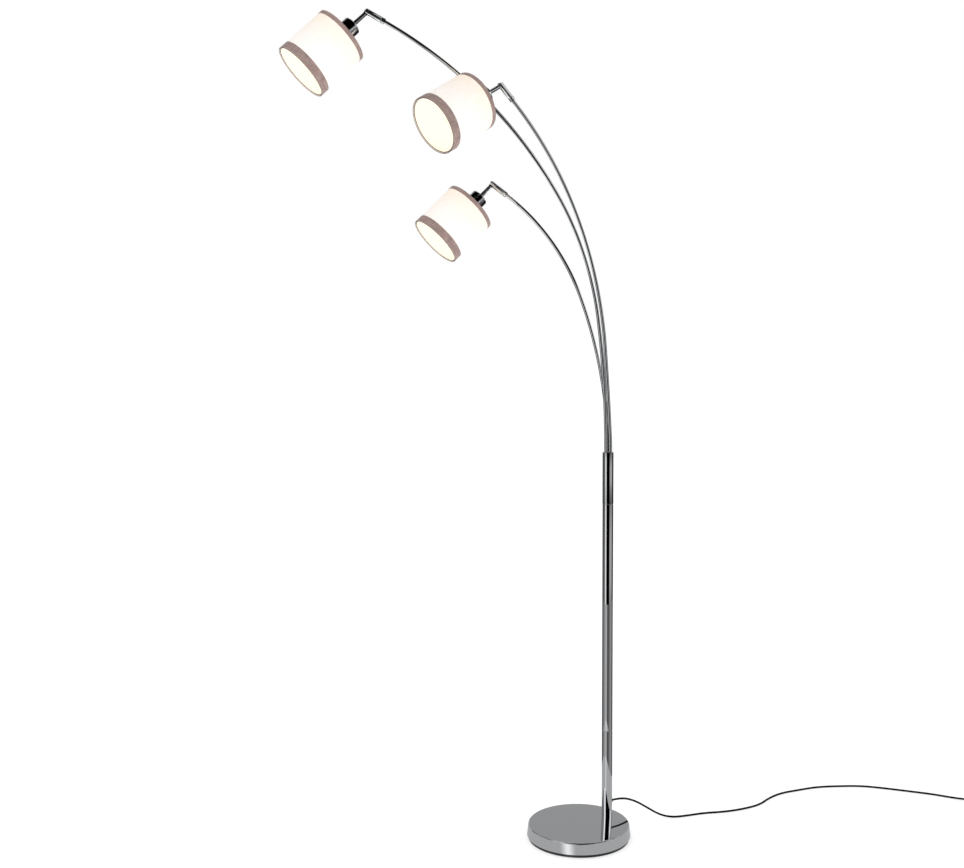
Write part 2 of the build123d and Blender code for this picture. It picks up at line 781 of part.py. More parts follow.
def bulb(head):
    ball_r = bulb_d / 2
    tip = socket_floor + bulb_len
    neck_start = holder_end + 1
    body = disc(bulb_base_d / 2, socket_floor, neck_start)
    neck = Cone(bulb_base_d / 2, bulb_neck_d / 2, bulb_neck_len,
                align=(Align.CENTER, Align.CENTER, Align.MIN))
    body += Pos(0, 0, neck_start) * neck
    body += Pos(0, 0, tip - ball_r) * Sphere(ball_r)
    return head.head * along_x(body)


# ---------------------------------------------------------------- the whole lamp
def stand_nodes():
    makers = [base_cover, base_weight, base_tray, base_pad, base_nut, base_stud,
              pole_foot_insert, pole_lower, pole_couplers, pole_upper, pole_head, head_insert,
              arm_friction_rings, cord_grommet, pole_cable, cord_run, cord_coil,
              switch_housing, switch_button, plug_body, plug_pins]
    return {make.__name__: make() for make in makers}


def head_nodes():
    makers = [arm_tube, knuckle_collar, knuckle_body, knuckle_pin, stem_rod, lampholder_cup,
              lampholder, clamp_ring, shade_frame, shade_fabric, shade_top_band,
              shade_bottom_band, bulb]
    return {make.__name__ + "_" + head.name: make(head) for head in heads for make in makers}


os.makedirs("parts", exist_ok=True)
for node, shape in {**stand_nodes(), **head_nodes()}.items():
    export_step(shape, "parts/" + node + ".step")


def shown(vector):
    return " ".join("%.4f" % value for value in vector)


for head in heads:
    print("head", head.name, "pin", shown(head.pin), "arm way", shown(head.arm_way),
          "head way", shown(head.head_way), "pin axis", shown(head.pin_axis),
          "foot", shown(head.foot), "bend %.2f" % head.bend)
switch_centre = switch_frame.from_local_coords(Vector(switch_middle, 0, 0))
print("switch", shown(switch_centre), "plug", shown(plug_spot), "heading %.1f" % plug_heading)
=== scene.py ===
import json
import math

import bmesh
import bpy
from mathutils import Matrix, Vector


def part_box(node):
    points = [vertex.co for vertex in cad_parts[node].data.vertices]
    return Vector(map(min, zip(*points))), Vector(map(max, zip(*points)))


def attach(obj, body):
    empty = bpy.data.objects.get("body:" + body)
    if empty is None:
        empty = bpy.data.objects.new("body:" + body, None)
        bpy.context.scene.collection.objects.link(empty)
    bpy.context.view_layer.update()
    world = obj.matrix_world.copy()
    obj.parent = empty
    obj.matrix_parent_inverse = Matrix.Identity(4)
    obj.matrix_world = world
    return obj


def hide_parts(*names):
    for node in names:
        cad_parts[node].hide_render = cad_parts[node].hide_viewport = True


# Tree floor lamp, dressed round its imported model. Metres, +Z up, the pole at +X and the
# arms towards -X. In order: camera, materials, cord, base, pole, arms, heads, studio.

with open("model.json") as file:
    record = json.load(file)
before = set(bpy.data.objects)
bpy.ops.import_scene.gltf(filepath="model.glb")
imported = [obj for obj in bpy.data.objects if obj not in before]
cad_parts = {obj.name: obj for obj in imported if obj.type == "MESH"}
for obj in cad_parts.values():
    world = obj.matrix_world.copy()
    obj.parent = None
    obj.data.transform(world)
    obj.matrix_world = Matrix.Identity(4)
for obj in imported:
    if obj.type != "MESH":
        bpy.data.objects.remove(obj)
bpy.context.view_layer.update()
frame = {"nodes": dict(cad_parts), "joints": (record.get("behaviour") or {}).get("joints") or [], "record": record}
joints = {joint["name"]: joint for joint in frame["joints"]}
armNames = ["high", "middle", "low"]
print("model loaded")

# The photograph's eye point, found from the base's ellipses and the lamp's outline.
eye = {
    "place": (-1.88867, -2.63399, 1.37982),
    "right": (0.85095037, -0.52519087, -0.00761738),
    "up": (0.06972839, 0.09858084, 0.99268312),
    "forward": (0.52059718, 0.84525521, -0.12050811),
    "lens": 51.98,
    "sensor": 36.0,
    "clip": (0.05, 200),
}


def makeCamera():
    data = bpy.data.cameras.new("eye")
    data.lens = eye["lens"]
    data.sensor_width = eye["sensor"]
    data.clip_start, data.clip_end = eye["clip"]
    camera = bpy.data.objects.new("eye", data)
    bpy.context.scene.collection.objects.link(camera)
    right, up, back = Vector(eye["right"]), Vector(eye["up"]), -Vector(eye["forward"])
    turn = Matrix((right, up, back)).transposed().to_4x4()
    camera.matrix_world = Matrix.Translation(eye["place"]) @ turn
    bpy.context.scene.camera = camera


makeCamera()
print("camera placed")


# Nodes, made and joined in one call each.
def feed(tree, node, inputs):
    for name, value in inputs.items():
        if isinstance(value, bpy.types.NodeSocket):
            tree.links.new(value, node.inputs[name])
        else:
            node.inputs[name].default_value = value


def addNode(tree, kind, inputs=None, **settings):
    node = tree.nodes.new(kind)
    for name, value in settings.items():
        setattr(node, name, value)
    feed(tree, node, inputs or {})
    return node


def made(tree, kind, inputs=None, **settings):
    # A node's first output.
    return addNode(tree, kind, inputs, **settings).outputs[0]


def mathNode(tree, operation, *values):
    return made(tree, "ShaderNodeMath", dict(enumerate(values)), operation=operation)


def mixedHeight(tree, shares):
    # Adds heights up, each times its share.
    total = None
    for height, share in shares:
        part = mathNode(tree, "MULTIPLY", height, share)
        total = part if total is None else mathNode(tree, "ADD", total, part)
    return total


def newMaterial(name):
    material = bpy.data.materials.new(name)
    material.use_nodes = True
    tree = material.node_tree
    return material, tree, tree.nodes["Principled BSDF"]


def colorRamp(tree, factor, stops, smooth=False):
    node = addNode(tree, "ShaderNodeValToRGB", {0: factor})
    ramp = node.color_ramp
    ramp.interpolation = "EASE" if smooth else "LINEAR"
    while len(ramp.elements) < len(stops):
        ramp.elements.new(0.5)
    for element, (position, color) in zip(ramp.elements, stops):
        element.position = position
        element.color = (*color, 1)
    return node.outputs["Color"]


def stretchedNoise(tree, space, scale, stretch=(1, 1, 1), detail=3, rough=0.5):
    mapped = made(tree, "ShaderNodeMapping", {"Vector": space, "Scale": stretch})
    return made(tree, "ShaderNodeTexNoise",
                {"Vector": mapped, "Scale": scale, "Detail": detail, "Roughness": rough})


def between(tree, value, low, high, outLow, outHigh, **settings):
    return made(tree, "ShaderNodeMapRange",
                {"Value": value, "From Min": low, "From Max": high,
                 "To Min": outLow, "To Max": outHigh}, **settings)


def bumpNode(tree, height, strength, distance):
    return made(tree, "ShaderNodeBump",
                {"Height": height, "Strength": strength, "Distance": distance})


def placeOf(tree):
    return addNode(tree, "ShaderNodeTexCoord").outputs["Object"]


def threeParts(tree, vector):
    return addNode(tree, "ShaderNodeSeparateXYZ", {0: vector}).outputs


# Materials. Each keeps its changeable values in its look.
def chromeMaterial():
    look = {"color": (0.66, 0.67, 0.685, 1), "roughness": 0.02, "haze": 0.025,
            "scratchSize": 900, "hazeSize": 38, "bump": 0.012, "bumpDepth": 0.0001}
    material, tree, shader = newMaterial("chromePlate")
    place = placeOf(tree)
    haze = stretchedNoise(tree, place, look["hazeSize"], detail=5, rough=0.6)
    scratch = stretchedNoise(tree, place, look["scratchSize"], (1, 1, 0.06), 2)
    rough = between(tree, haze, 0.35, 0.75, look["roughness"], look["roughness"] + look["haze"])
    bump = bumpNode(tree, scratch, look["bump"], look["bumpDepth"])
    feed(tree, shader, {"Base Color": look["color"], "Metallic": 1, "Roughness": rough,
                        "Normal": bump})
    return material


def grainMaterial(name, dark, light, roughness, grainSize, bump, metallic=0.0, specular=0.5):
    # Fine grain over large blotches, between a dark and a light colour.
    look = {"blotchSize": 30, "grainShare": 0.5, "smoother": 0.05, "rougher": 0.08,
            "bumpDepth": 0.0004}
    material, tree, shader = newMaterial(name)
    place = placeOf(tree)
    grain = stretchedNoise(tree, place, grainSize, detail=2)
    blotch = stretchedNoise(tree, place, look["blotchSize"], detail=4)
    mixed = mixedHeight(tree, [(grain, look["grainShare"]), (blotch, 1 - look["grainShare"])])
    rough = between(tree, blotch, 0.3, 0.7, roughness - look["smoother"],
                    roughness + look["rougher"])
    feed(tree, shader, {"Base Color": colorRamp(tree, mixed, [(0.35, dark), (0.65, light)]),
                        "Metallic": metallic, "Roughness": rough,
                        "Specular IOR Level": specular,
                        "Normal": bumpNode(tree, grain, bump, look["bumpDepth"])})
    return material


def weaveHeight(tree, around, down, pitch):
    # Plain weave: two waves at right angles, multiplied.
    warp, weft = [mathNode(tree, "SINE", mathNode(tree, "MULTIPLY", way, 2 * math.pi / pitch))
                  for way in (around, down)]
    return mathNode(tree, "MULTIPLY", warp, weft)


def shadeMaterial(name, glow, warm, plain, white):
    # Cloth on its backing, with the bulb's light through it painted as a glow: warm by the upper rim, whitest
    # above the lower one.
    look = {"cloth": (0.80, 0.78, 0.745), "thread": (0.70, 0.675, 0.64), "pitch": 0.0007,
            "weaveShare": 0.2, "slubSize": 240, "slubStretch": (1, 0.18, 1),
            "driftSize": 14, "driftReach": 0.05, "height": 0.122,
            "roughness": 0.9, "sheen": 0.15, "bump": 0.35, "bumpDepth": 0.0002}
    material, tree, shader = newMaterial(name)
    uv = made(tree, "ShaderNodeUVMap", uv_map="wall")
    around, down, _ = threeParts(tree, uv)
    weave = weaveHeight(tree, around, down, look["pitch"])
    slub = stretchedNoise(tree, uv, look["slubSize"], look["slubStretch"], 3)
    cloth = mixedHeight(tree, [(weave, look["weaveShare"]), (slub, 1)])
    drift = mathNode(tree, "SUBTRACT", stretchedNoise(tree, uv, look["driftSize"], detail=2), 0.5)
    height = mixedHeight(tree, [(down, 1), (drift, look["driftReach"])])
    # The painted glow's colour by height down the shade, standing in for the bulb's light through the cloth.
    light = colorRamp(tree, mathNode(tree, "DIVIDE", height, look["height"]),
                      [(0.0, warm), (0.16, warm), (0.42, plain), (0.62, white), (0.85, white),
                       (1.0, plain)], smooth=True)
    color = colorRamp(tree, cloth, [(0.25, look["thread"]), (0.7, look["cloth"])])
    feed(tree, shader, {"Base Color": color, "Emission Color": light,
                        "Emission Strength": glow, "Roughness": look["roughness"],
                        "Sheen Weight": look["sheen"],
                        "Normal": bumpNode(tree, cloth, look["bump"], look["bumpDepth"])})
    return material


def bandMaterial(name, dark, light, glow):
    # Woven ribbon: slubs along and across it, patches and a faint weave. It also glows in its own colour, a
    # painted glow of the light through the ribbon.
    look = {"pitch": 0.0009, "slubSize": 150, "patchSize": 70, "longShare": 0.33,
            "tallShare": 0.27, "patchShare": 0.4, "weaveShare": 0.05,
            "roughness": 0.85, "sheen": 0.2, "bump": 0.6, "bumpDepth": 0.0004}
    material, tree, shader = newMaterial(name)
    uv = made(tree, "ShaderNodeUVMap", uv_map="wall")
    around, down, _ = threeParts(tree, uv)
    weave = weaveHeight(tree, around, down, look["pitch"])
    long = stretchedNoise(tree, uv, look["slubSize"], (0.25, 2.2, 1), 4)
    tall = stretchedNoise(tree, uv, look["slubSize"], (2.2, 0.3, 1), 4)
    patch = stretchedNoise(tree, uv, look["patchSize"], detail=4, rough=0.65)
    mixed = mixedHeight(tree, [(long, look["longShare"]), (tall, look["tallShare"]),
                               (patch, look["patchShare"]), (weave, look["weaveShare"])])
    color = colorRamp(tree, mixed, [(0.34, dark), (0.66, light)])
    feed(tree, shader, {"Base Color": color, "Emission Color": color,
                        "Emission Strength": glow, "Roughness": look["roughness"],
                        "Sheen Weight": look["sheen"],
                        "Normal": bumpNode(tree, mixed, look["bump"], look["bumpDepth"])})
    return material


def glowMaterial(name, color, strength, roughness):
    # Glows in a faintly clouded colour.
    look = {"cloudSize": 60, "dimmest": 0.92, "body": (0.9, 0.89, 0.86, 1)}
    material, tree, shader = newMaterial(name)
    place = placeOf(tree)
    cloud = stretchedNoise(tree, place, look["cloudSize"], detail=3)
    low = tuple(channel * look["dimmest"] for channel in color)
    color = colorRamp(tree, cloud, [(0.3, low), (0.7, color)])
    feed(tree, shader, {"Base Color": look["body"], "Emission Color": color,
                        "Emission Strength": strength, "Roughness": roughness})
    return material


# Grained: name, dark and light colour, roughness, grain size, bump, metallic, specular.
grained = {
    "castIron": ("castIronRough", (0.05, 0.05, 0.052), (0.11, 0.11, 0.115), 0.7, 700, 0.5),
    "zincSteel": ("zincSteel", (0.42, 0.43, 0.44), (0.55, 0.56, 0.57), 0.35, 900, 0.1, 1.0),
    "blackPlastic": ("blackMouldedPlastic", (0.010, 0.010, 0.011), (0.022, 0.022, 0.024),
                     0.42, 1800, 0.25),
    "blackRubber": ("blackRubber", (0.012, 0.012, 0.013), (0.028, 0.028, 0.03),
                    0.75, 1200, 0.4),
    "cordSheath": ("cordSheath", (0.003, 0.003, 0.0035), (0.007, 0.007, 0.008),
                   0.5, 600, 0.15, 0.0, 0.15),
    "nylon": ("nylonWhite", (0.72, 0.72, 0.70), (0.82, 0.82, 0.80), 0.45, 900, 0.1),
    "pinMetal": ("plugPinNickel", (0.55, 0.50, 0.40), (0.68, 0.63, 0.52),
                 0.25, 1500, 0.08, 1.0),
    "whiteWire": ("whitePowderCoat", (0.76, 0.76, 0.74), (0.86, 0.86, 0.84),
                  0.5, 1600, 0.35),
    "ceramic": ("whiteLampholder", (0.80, 0.79, 0.76), (0.88, 0.87, 0.84), 0.3, 700, 0.08),
}
finishes = {key: grainMaterial(*values) for key, values in grained.items()}
finishes |= {
    "chrome": chromeMaterial(),
    # Both sides of the cloth carry a painted glow of the bulb's light.
    "shadeOutside": shadeMaterial("shadeClothOutside", 0.50, (1.0, 0.81, 0.63),
                                  (1.0, 0.86, 0.77), (1.0, 0.91, 0.86)),
    "shadeInside": shadeMaterial("shadeLiningInside", 0.40, (1.0, 0.82, 0.55),
                                 (1.0, 0.88, 0.64), (1.0, 0.91, 0.70)),
    "band": bandMaterial("taupeRibbon", (0.245, 0.165, 0.150), (0.475, 0.345, 0.315), 0.16),
    # A darker copy of the ribbon: painted shade for its folded edges and the mouth wire's outer side.
    "bandEdge": bandMaterial("taupeRibbonFold", (0.115, 0.080, 0.085),
                             (0.200, 0.145, 0.145), 0.1),
    # Painted glow for the lit inward side of the mouth's wire.
    "hem": glowMaterial("warmHem", (1.0, 0.62, 0.36), 0.72, 0.9),
    "bulb": glowMaterial("opalGlassLit", (1.0, 0.93, 0.74), 1.25, 0.25),
}
print("materials made:", len(finishes))

nodeFinishes = {
    "base_cover": "chrome", "base_weight": "castIron", "base_tray": "blackPlastic",
    "base_pad": "blackRubber", "base_nut": "zincSteel", "base_stud": "zincSteel",
    "pole_foot_insert": "zincSteel", "pole_lower": "chrome", "pole_couplers": "zincSteel",
    "pole_upper": "chrome", "pole_head": "chrome", "head_insert": "chrome",
    "arm_friction_rings": "nylon", "cord_grommet": "blackRubber", "pole_cable": "cordSheath",
    "cord_run": "cordSheath", "cord_coil": "cordSheath", "switch_housing": "blackPlastic",
    "switch_button": "blackPlastic", "plug_body": "blackPlastic", "plug_pins": "pinMetal",
    "arm_tube": "chrome", "knuckle_collar": "chrome", "knuckle_body": "chrome",
    "knuckle_pin": "chrome", "stem_rod": "chrome", "lampholder_cup": "chrome",
    "lampholder": "ceramic", "clamp_ring": "ceramic", "shade_frame": "whiteWire",
    "shade_fabric": "shadeOutside", "shade_top_band": "band", "shade_bottom_band": "band",
    "bulb": "bulb",
}
bodies = frame["record"]["behaviour"]["bodies"]
bodyOf = {node: body for body, nodes in bodies.items() for node in nodes}


def plainName(node):
    for name in armNames:
        node = node.removesuffix("_" + name)
    return node


for node, piece in frame["nodes"].items():
    piece.data.materials.clear()
    piece.data.materials.append(finishes[nodeFinishes[plainName(node)]])


# Meshes turned, copied and put on their bodies.
def settle(piece, node, finish=None, hides=True):
    # A finished piece rides with its node's body and stands for that node.
    if finish is not None:
        piece.data.materials.clear()
        piece.data.materials.append(finishes[finish])
    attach(piece, bodyOf[node])
    if hides:
        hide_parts(node)
    return piece


def newPiece(name, mesh):
    piece = bpy.data.objects.new(name, mesh)
    bpy.context.scene.collection.objects.link(piece)
    return piece


def eased(points, closed=False, steps=6):
    # Rounds the corners of an outline of (radius, height, rounding) points.
    result = []
    count = len(points)
    for index, point in enumerate(points):
        spot = Vector(point[:2])
        rounding = point[2] if len(point) > 2 else 0
        if rounding <= 0 or (not closed and index in (0, count - 1)):
            result.append(tuple(spot))
            continue
        before, after = Vector(points[index - 1][:2]), Vector(points[(index + 1) % count][:2])
        toBefore, toAfter = (before - spot).normalized(), (after - spot).normalized()
        half = toBefore.angle(toAfter) / 2
        reach = rounding / math.tan(half)
        centre = spot + (toBefore + toAfter).normalized() * (rounding / math.sin(half))
        start, end = spot + toBefore * reach - centre, spot + toAfter * reach - centre
        sweep = start.angle_signed(end)
        for step in range(steps + 1):
            turn = Matrix.Rotation(-sweep * step / steps, 2)
            result.append(tuple(centre + turn @ start))
    return result


def turnedPiece(name, outline, place, sides=96, closed=False, sharp=35, start=0.0):
    # Turned about the local Z axis of place; outline holds (radius, height) in metres.
    vertices, rows = [], []
    for radius, height in outline:
        if radius < 1e-7:
            rows.append([len(vertices)])
            vertices.append((0, 0, height))
            continue
        rows.append(list(range(len(vertices), len(vertices) + sides)))
        for side in range(sides):
            angle = start + 2 * math.pi * side / sides
            vertices.append((radius * math.cos(angle), radius * math.sin(angle), height))
    # The wall map: round the piece by its girth, along the outline by its length.
    outlineLength = [0.0]
    spots = [Vector(point) for point in outline] + ([Vector(outline[0])] if closed else [])
    for before, after in zip(spots, spots[1:]):
        outlineLength.append(outlineLength[-1] + (after - before).length)
    girth = 2 * math.pi * max(point[0] for point in outline)
    faces, corners, spans = [], [], []
    pairs = [(row, row + 1) for row in range(len(rows) - 1)]
    if closed:
        pairs.append((len(rows) - 1, 0))
    for span, (one, two) in enumerate(pairs):
        rowA, rowB = rows[one], rows[two]
        low, high = outlineLength[span], outlineLength[span + 1]
        if len(rowA) == 1 and len(rowB) == 1:
            continue
        for side in range(sides):
            ahead = (side + 1) % sides
            u0, u1 = girth * side / sides, girth * (side + 1) / sides
            # On the axis a row is one point, and the face a triangle.
            face = [(rowA[side % len(rowA)], (u0, low)), (rowB[side % len(rowB)], (u0, high))]
            if len(rowB) > 1:
                face.insert(1, (rowB[ahead], (u1, high)))
            if len(rowA) > 1:
                face.insert(1, (rowA[ahead], (u1, low)))
            faces.append([corner[0] for corner in face])
            corners.append([corner[1] for corner in face])
            spans.append(span)
    mesh = bpy.data.meshes.new(name)
    mesh.from_pydata(vertices, [], faces)
    layer = mesh.uv_layers.new(name="wall")
    for polygon, uvs in zip(mesh.polygons, corners):
        for loop, uv in zip(polygon.loop_indices, uvs):
            layer.data[loop].uv = uv
    bands = mesh.attributes.new("span", "INT", "FACE")
    bands.data.foreach_set("value", spans)
    tidyNormals(mesh)
    mesh.transform(place)
    smoothed(mesh, sharp)
    return newPiece(name, mesh)


def tidyNormals(mesh):
    shape = bmesh.new()
    shape.from_mesh(mesh)
    bmesh.ops.recalc_face_normals(shape, faces=shape.faces)
    shape.to_mesh(mesh)
    shape.free()


def smoothed(mesh, sharp):
    mesh.shade_smooth()
    mesh.set_sharp_from_angle(angle=math.radians(sharp))


def polished(node, name, finish, bevel=0.0, sharp=30):
    # A merged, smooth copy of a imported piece, with its edges rounded a little.
    mesh = frame["nodes"][node].data.copy()
    mesh.name = name
    shape = bmesh.new()
    shape.from_mesh(mesh)
    bmesh.ops.remove_doubles(shape, verts=shape.verts, dist=1e-6)
    flat = [edge for edge in shape.edges
            if len(edge.link_faces) == 2 and edge.calc_face_angle() < 1e-3]
    bmesh.ops.dissolve_edges(shape, edges=flat, use_verts=False)
    shape.to_mesh(mesh)
    shape.free()
    smoothed(mesh, sharp)
    piece = newPiece(name, mesh)
    if bevel > 0:
        rounding = piece.modifiers.new("edges", "BEVEL")
        rounding.width = bevel
        rounding.segments = 2
        rounding.limit_method = "ANGLE"
        rounding.angle_limit = math.radians(sharp)
        rounding.harden_normals = True
        piece = plainCopy(piece, name)
    return settle(piece, node, finish)


def plainCopy(source, name):
    # What the modifiers make of a piece, as a plain mesh in a new piece.
    graph = bpy.context.evaluated_depsgraph_get()
    mesh = bpy.data.meshes.new_from_object(source.evaluated_get(graph), depsgraph=graph)
    data = source.data
    bpy.data.objects.remove(source)
    if isinstance(data, bpy.types.Mesh):
        bpy.data.meshes.remove(data)
    else:
        bpy.data.curves.remove(data)
    mesh.name = name
    return newPiece(name, mesh)


# Geometry node trees with named inputs.
def newTree(name, inputs):
    tree = bpy.data.node_groups.new(name, "GeometryNodeTree")
    tree.interface.new_socket("Geometry", in_out="INPUT", socket_type="NodeSocketGeometry")
    tree.interface.new_socket("Geometry", in_out="OUTPUT", socket_type="NodeSocketGeometry")
    names = {}
    for label, (kind, value) in inputs.items():
        socket = tree.interface.new_socket(label, in_out="INPUT", socket_type="NodeSocket" + kind)
        if value is not None:
            socket.default_value = value
        names[label] = socket.identifier
    start = tree.nodes.new("NodeGroupInput")
    end = tree.nodes.new("NodeGroupOutput")
    return tree, start, end, names


def finishTree(tree, start, end, geometry, smooth=True):
    real = made(tree, "GeometryNodeRealizeInstances", {0: geometry})
    shaded = made(tree, "GeometryNodeSetShadeSmooth", {"Geometry": real, "Shade Smooth": smooth})
    painted = made(tree, "GeometryNodeSetMaterial",
                   {"Geometry": shaded, "Material": start.outputs["Material"]})
    tree.links.new(painted, end.inputs[0])


def circleNode(tree, radius, resolution):
    return made(tree, "GeometryNodeCurvePrimitiveCircle",
                {"Resolution": resolution, "Radius": radius})


def sweptNode(tree, curve, profile, caps):
    return made(tree, "GeometryNodeCurveToMesh",
                {"Curve": curve, "Profile Curve": profile, "Fill Caps": caps})


def vectorNode(tree, **parts):
    return made(tree, "ShaderNodeCombineXYZ", parts)


def grown(source, name, tree, names, values):
    # Runs a geometry tree on a piece and keeps the result as a plain mesh.
    modifier = source.modifiers.new("grow", "NODES")
    modifier.node_group = tree
    for label, value in values.items():
        modifier[names[label]] = value
    return plainCopy(source, name)


def pathPiece(name, points):
    curve = bpy.data.curves.new(name, "CURVE")
    curve.dimensions = "3D"
    spline = curve.splines.new("POLY")
    spline.points.add(len(points) - 1)
    for spot, point in zip(spline.points, points):
        spot.co = (*point, 1)
    return newPiece(name, curve)


def makeTubeTree():
    tree, start, end, names = newTree("tubeAlongPath", {
        "Diameter": ("Float", 0.008), "Sides": ("Int", 32), "Material": ("Material", None)})
    given = start.outputs
    circle = circleNode(tree, mathNode(tree, "MULTIPLY", given["Diameter"], 0.5), given["Sides"])
    finishTree(tree, start, end, sweptNode(tree, given["Geometry"], circle, True))
    return tree, names


def makeRingStackTree():
    # Rings one behind the other along Z, each a little larger than the last.
    tree, start, end, names = newTree("ringStack", {
        "Count": ("Int", 6), "Pitch": ("Float", 0.003), "First Radius": ("Float", 0.003),
        "Last Radius": ("Float", 0.005), "Wire": ("Float", 0.0008),
        "Material": ("Material", None)})
    given = start.outputs
    line = made(tree, "GeometryNodeMeshLine", {"Count": given["Count"], "Offset": (0, 0, 0)})
    step = made(tree, "GeometryNodeInputIndex")
    offset = vectorNode(tree, Z=mathNode(tree, "MULTIPLY", step, given["Pitch"]))
    spots = made(tree, "GeometryNodeSetPosition", {"Geometry": line, "Offset": offset})
    last = mathNode(tree, "SUBTRACT", given["Count"], 1.0)
    grow = between(tree, step, 0.0, last, given["First Radius"], given["Last Radius"])
    copies = made(tree, "GeometryNodeInstanceOnPoints",
                  {"Points": spots, "Instance": circleNode(tree, 1.0, 48), "Scale": grow})
    real = made(tree, "GeometryNodeRealizeInstances", {0: copies})
    wire = circleNode(tree, given["Wire"], 8)
    finishTree(tree, start, end, sweptNode(tree, real, wire, False))
    return tree, names


def makeGripTree():
    # Upright ribs round a ring, as on the shade's clamp ring.
    tree, start, end, names = newTree("gripRibs", {
        "Count": ("Int", 24), "Radius": ("Float", 0.018), "Height": ("Float", 0.005),
        "Rib": ("Float", 0.0008), "Material": ("Material", None)})
    given = start.outputs
    ring = made(tree, "GeometryNodeMeshCircle",
                {"Vertices": given["Count"], "Radius": given["Radius"]})
    rib = made(tree, "GeometryNodeMeshCylinder",
               {"Vertices": 8, "Radius": given["Rib"], "Depth": given["Height"]})
    copies = made(tree, "GeometryNodeInstanceOnPoints", {"Points": ring, "Instance": rib})
    finishTree(tree, start, end, copies, smooth=False)
    return tree, names


def makeShadeFrameTree():
    # Wire ring against the cloth and spokes up to a flat hub. Z runs towards the mouth.
    tree, start, end, names = newTree("shadeFrame", {
        "Ring Radius": ("Float", 0.0622), "Hub Radius": ("Float", 0.021),
        "Ring Height": ("Float", 0.0802), "Hub Height": ("Float", 0.0935),
        "Wire": ("Float", 0.0012), "Spokes": ("Int", 3), "First Angle": ("Float", 0.0),
        "Material": ("Material", None)})
    given = start.outputs
    ring = made(tree, "GeometryNodeTransform",
                {"Geometry": circleNode(tree, given["Ring Radius"], 96),
                 "Translation": vectorNode(tree, Z=given["Ring Height"])})
    inner = vectorNode(tree, X=given["Hub Radius"], Z=given["Hub Height"])
    outer = vectorNode(tree, X=given["Ring Radius"], Z=given["Ring Height"])
    spoke = made(tree, "GeometryNodeCurvePrimitiveLine", {"Start": inner, "End": outer})
    dots = made(tree, "GeometryNodeMeshLine", {"Count": given["Spokes"], "Offset": (0, 0, 0)})
    share = mathNode(tree, "DIVIDE", made(tree, "GeometryNodeInputIndex"), given["Spokes"])
    around = mathNode(tree, "MULTIPLY", share, 2 * math.pi)
    turn = vectorNode(tree, Z=mathNode(tree, "ADD", around, given["First Angle"]))
    spokes = made(tree, "GeometryNodeInstanceOnPoints",
                  {"Points": dots, "Instance": spoke, "Rotation": turn})
    joined = tree.nodes.new("GeometryNodeJoinGeometry")
    tree.links.new(ring, joined.inputs[0])
    tree.links.new(spokes, joined.inputs[0])
    real = made(tree, "GeometryNodeRealizeInstances", {0: joined.outputs[0]})
    wire = circleNode(tree, given["Wire"], 12)
    finishTree(tree, start, end, sweptNode(tree, real, wire, True))
    return tree, names


tubeTree, tubeInputs = makeTubeTree()
ringTree, ringInputs = makeRingStackTree()
gripTree, gripInputs = makeGripTree()
frameTree, frameInputs = makeShadeFrameTree()


# The cord, in millimetres until it is laid.
cord = {
    "diameter": 0.005,      # metres, as are both lengths
    "runLength": 1.10,
    "coilLength": 0.88,
    "floor": 2.5,           # cord's middle where it lies on the floor
    "switchAxis": 6.0,      # cord's middle at the switch
    "switchReach": 124.0,   # from one end of the switch's reliefs to the other
    "switchGrip": 26.0,     # cord inside each relief
    "straightFor": 8.0,     # past the switch, before it comes down
    "downAfter": 20.0,
    "coilAfter": 35.0,
    "coilTurns": 4.25,
    "coilClimb": 0.5,       # turns taken to climb to the upper layer
    "coilRadius": 36.0,
    "coilStep": 6.3,
    "coilLayer": 6.0,
    "pointsPerTurn": 16,
    "plugAxis": 7.0,        # cord's middle at the plug
    "plugAfter": (12, 22, 30, 35),
}
cordStart = (99.3, 0, 73)
cordRoute = [
    cordStart, (130, 0, 73), (170, -1, 57), (204, -5, 34), (238, -14, 10),
    (266, -30, 2.5), (303, -42, 2.5), (350, -52, 2.5), (398, -74, 2.5), (450, -86, 2.5),
    (506, -88, 2.5), (556, -68, 2.5), (606, -59, 2.5), (660, -68, 2.5), (718, -79, 2.5),
    (770, -106, 2.5), (820, -136, 2.5), (860, -182, 2.5), (898, -232, 2.5),
    (934, -280, 2.5), (959, -326, 2.5), (976, -362, 6), (986, -386, 6),
]


def cordCurve(name, points, node):
    curve = bpy.data.curves.new(name, "CURVE")
    curve.dimensions = "3D"
    curve.bevel_depth = cord["diameter"] / 2
    curve.bevel_resolution = 5
    curve.resolution_u = 8
    curve.use_fill_caps = True
    spline = curve.splines.new("NURBS")
    spline.points.add(len(points) - 1)
    for spot, point in zip(spline.points, points):
        spot.co = (*[value / 1000 for value in point], 1)
    spline.order_u = 3
    spline.use_endpoint_u = True
    spline.use_smooth = True
    curve.materials.append(finishes["cordSheath"])
    return settle(newPiece(name, curve), node)


def switchPlace():
    # Floor frame at the end of the cord's run, X along the cord.
    end, before = Vector(cordRoute[-1]), Vector(cordRoute[-2])
    heading = math.atan2(end.y - before.y, end.x - before.x)
    spot = Matrix.Translation((end.x, end.y, 0))
    return spot @ Matrix.Rotation(heading, 4, "Z")


